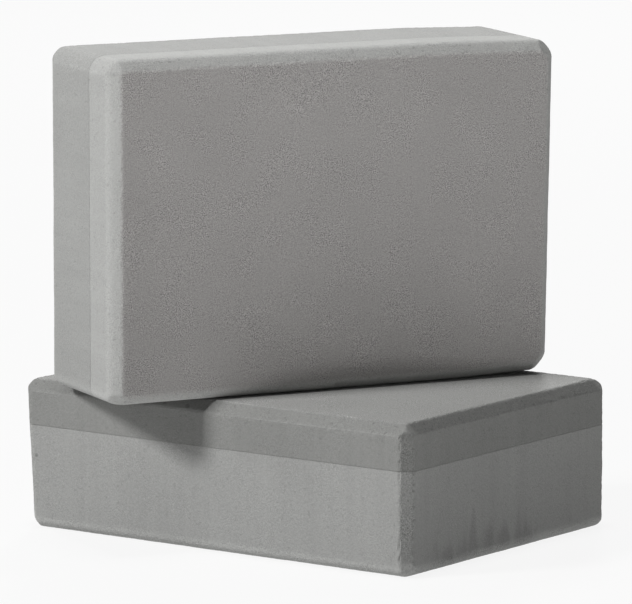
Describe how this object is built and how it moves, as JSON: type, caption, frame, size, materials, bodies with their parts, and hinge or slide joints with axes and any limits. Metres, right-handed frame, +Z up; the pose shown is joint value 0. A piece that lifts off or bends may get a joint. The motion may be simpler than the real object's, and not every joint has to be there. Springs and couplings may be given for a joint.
{
  "type": "yoga block",
  "caption": "Bevelled block of laminated grey foam lying flat, with a matching block standing across it on its narrow side, to prop hands, hips or back in floor exercise.",
  "frame": {"origin": "middle of the lower block's base, on the surface that it lies on", "axes": "+X along the lower block's length, +Y across its width, +Z up"},
  "size_m": [0.2237, 0.2308, 0.231],
  "materials": {
    "pale_foam": "matte closed-cell foam, lighter sheet",
    "dark_foam": "matte closed-cell foam, darker sheet",
    "glue": "thin film of contact glue, matte"
  },
  "bodies": {
    "lower_block": {"lower_block_thick_layer": "pale_foam", "lower_block_thin_layer": "dark_foam", "lower_block_glue_film": "glue"},
    "upper_block": {"upper_block_thick_layer": "dark_foam", "upper_block_thin_layer": "pale_foam", "upper_block_glue_film": "glue"}
  },
  "joints": [
    {"name": "upper_block_lift", "type": "slide", "parent": "lower_block", "child": "upper_block", "axis": [0, 0, 1], "range_m": [0, 0.16]}
  ]
}
